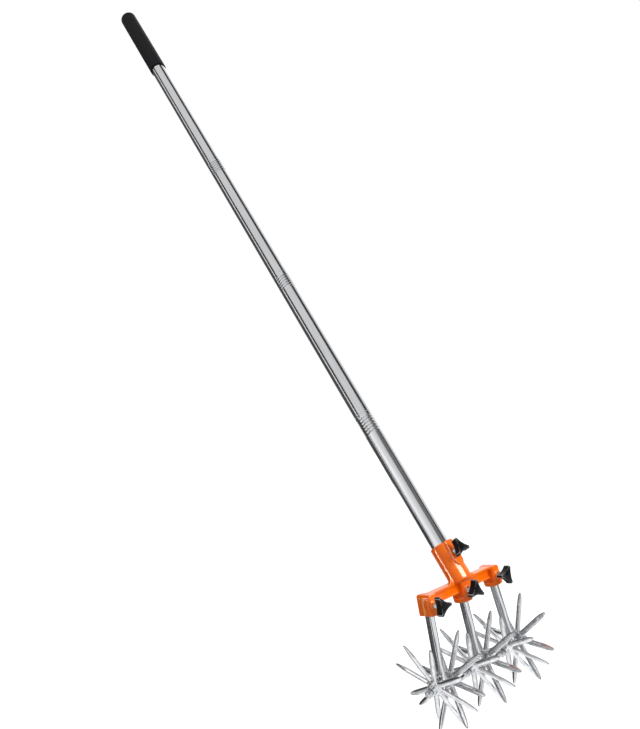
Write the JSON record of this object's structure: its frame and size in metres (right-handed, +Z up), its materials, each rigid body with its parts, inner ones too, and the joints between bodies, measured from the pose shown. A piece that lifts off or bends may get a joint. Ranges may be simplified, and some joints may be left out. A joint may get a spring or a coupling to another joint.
{
  "type": "rotary hand cultivator",
  "caption": "Long-handled garden cultivator: a leaning tube pole with a rubber grip, and a cast head whose clamped tine units carry interleaving star wheels that roll through soil.",
  "frame": {"origin": "middle of the grip, on the pole's axis", "axes": "+X along the crossbar to the right seen from the front, -Y to the front with the knobs, +Z up along the middle tine shank; the pole leans back 25 degrees from +Z towards +Y"},
  "size_m": [0.1892, 0.5729, 1.2498],
  "materials": {
    "grip": "matte moulded",
    "tube": "polished stainless tube",
    "casting": "gloss orange coat",
    "knob": "moulded, satin",
    "steel": "zinc plated",
    "alloy": "tumbled casting"
  },
  "bodies": {
    "pole": {"grip": "grip", "pole_lower": "tube", "pole_second": "tube", "pole_third": "tube", "pole_upper": "tube"},
    "head": {"head_bracket": "casting"},
    "pole_screw": {"pole_screw": "steel"},
    "pole_knob": {"pole_knob": "knob"},
    "tine_left": {"tine_shank_left": "alloy", "axle_pin_left_left": "steel", "axle_pin_left_right": "steel"},
    "tine_screw_left": {"tine_screw_left": "steel"},
    "tine_knob_left": {"tine_knob_left": "knob"},
    "star_wheel_left_left": {"star_wheel_left_left": "alloy"},
    "star_wheel_left_right": {"star_wheel_left_right": "alloy"},
    "tine_middle": {"tine_shank_middle": "alloy", "axle_pin_middle_left": "steel", "axle_pin_middle_right": "steel"},
    "tine_screw_middle": {"tine_screw_middle": "steel"},
    "tine_knob_middle": {"tine_knob_middle": "knob"},
    "star_wheel_middle_left": {"star_wheel_middle_left": "alloy"},
    "star_wheel_middle_right": {"star_wheel_middle_right": "alloy"},
    "tine_right": {"tine_shank_right": "alloy", "axle_pin_right_left": "steel", "axle_pin_right_right": "steel"},
    "tine_screw_right": {"tine_screw_right": "steel"},
    "tine_knob_right": {"tine_knob_right": "knob"},
    "star_wheel_right_left": {"star_wheel_right_left": "alloy"},
    "star_wheel_right_right": {"star_wheel_right_right": "alloy"}
  },
  "joints": [
    {"name": "head_slide", "type": "slide", "parent": "pole", "child": "head", "axis": [0, -0.4226, -0.9063], "range_m": [0, 0.05]},
    {"name": "pole_screw_feed", "type": "slide", "parent": "head", "child": "pole_screw", "axis": [0, -0.9063, 0.4226], "range_m": [0, 0.006]},
    {"name": "pole_knob_turn", "type": "hinge", "parent": "pole_screw", "child": "pole_knob", "pos_m": [0, -0.47984, -0.98169], "axis": [0, -0.9063, 0.4226], "range_deg": [0, 2165]},
    {"name": "tine_left_slide", "type": "slide", "parent": "head", "child": "tine_left", "axis": [-0.0785, 0, -0.9969], "range_m": [0, 0.03]},
    {"name": "tine_screw_left_feed", "type": "slide", "parent": "head", "child": "tine_screw_left", "axis": [0, -1, 0], "range_m": [0, 0.006]},
    {"name": "tine_knob_left_turn", "type": "hinge", "parent": "tine_screw_left", "child": "tine_knob_left", "pos_m": [-0.05895, -0.49035, -1.02978], "axis": [0, -1, 0], "range_deg": [0, 2165]},
    {"name": "star_wheel_left_left_spin", "type": "hinge", "parent": "tine_left", "child": "star_wheel_left_left", "pos_m": [-0.06541, -0.47035, -1.11193], "axis": [0.9537, 0, 0.3007], "continuous": true},
    {"name": "star_wheel_left_right_spin", "type": "hinge", "parent": "tine_left", "child": "star_wheel_left_right", "pos_m": [-0.06541, -0.47035, -1.11193], "axis": [0.8949, 0, -0.4462], "continuous": true},
    {"name": "tine_middle_slide", "type": "slide", "parent": "head", "child": "tine_middle", "axis": [0, 0, -1], "range_m": [0, 0.03]},
    {"name": "tine_screw_middle_feed", "type": "slide", "parent": "head", "child": "tine_screw_middle", "axis": [0, -1, 0], "range_m": [0, 0.006]},
    {"name": "tine_knob_middle_turn", "type": "hinge", "parent": "tine_screw_middle", "child": "tine_knob_middle", "pos_m": [0, -0.49035, -1.02974], "axis": [0, -1, 0], "range_deg": [0, 2165]},
    {"name": "star_wheel_middle_left_spin", "type": "hinge", "parent": "tine_middle", "child": "star_wheel_middle_left", "pos_m": [0, -0.47035, -1.11214], "axis": [0.9272, 0, 0.3746], "continuous": true},
    {"name": "star_wheel_middle_right_spin", "type": "hinge", "parent": "tine_middle", "child": "star_wheel_middle_right", "pos_m": [0, -0.47035, -1.11214], "axis": [0.9272, 0, -0.3746], "continuous": true},
    {"name": "tine_right_slide", "type": "slide", "parent": "head", "child": "tine_right", "axis": [0.0785, 0, -0.9969], "range_m": [0, 0.03]},
    {"name": "tine_screw_right_feed", "type": "slide", "parent": "head", "child": "tine_screw_right", "axis": [0, -1, 0], "range_m": [0, 0.006]},
    {"name": "tine_knob_right_turn", "type": "hinge", "parent": "tine_screw_right", "child": "tine_knob_right", "pos_m": [0.05895, -0.49035, -1.02978], "axis": [0, -1, 0], "range_deg": [0, 2165]},
    {"name": "star_wheel_right_left_spin", "type": "hinge", "parent": "tine_right", "child": "star_wheel_right_left", "pos_m": [0.06541, -0.47035, -1.11193], "axis": [0.8949, 0, 0.4462], "continuous": true},
    {"name": "star_wheel_right_right_spin", "type": "hinge", "parent": "tine_right", "child": "star_wheel_right_right", "pos_m": [0.06541, -0.47035, -1.11193], "axis": [0.9537, 0, -0.3007], "continuous": true}
  ],
  "couplings": [
    {"joint": "pole_knob_turn", "follows": "pole_screw_feed", "rad_per_m": 6283.2},
    {"joint": "tine_knob_left_turn", "follows": "tine_screw_left_feed", "rad_per_m": 6283.2},
    {"joint": "tine_knob_middle_turn", "follows": "tine_screw_middle_feed", "rad_per_m": 6283.2},
    {"joint": "tine_knob_right_turn", "follows": "tine_screw_right_feed", "rad_per_m": 6283.2},
    {"joint": "star_wheel_left_right_spin", "follows": "star_wheel_left_left_spin", "ratio": 1},
    {"joint": "star_wheel_middle_left_spin", "follows": "star_wheel_left_left_spin", "ratio": 1},
    {"joint": "star_wheel_middle_right_spin", "follows": "star_wheel_left_left_spin", "ratio": 1},
    {"joint": "star_wheel_right_left_spin", "follows": "star_wheel_left_left_spin", "ratio": 1},
    {"joint": "star_wheel_right_right_spin", "follows": "star_wheel_left_left_spin", "ratio": 1}
  ]
}
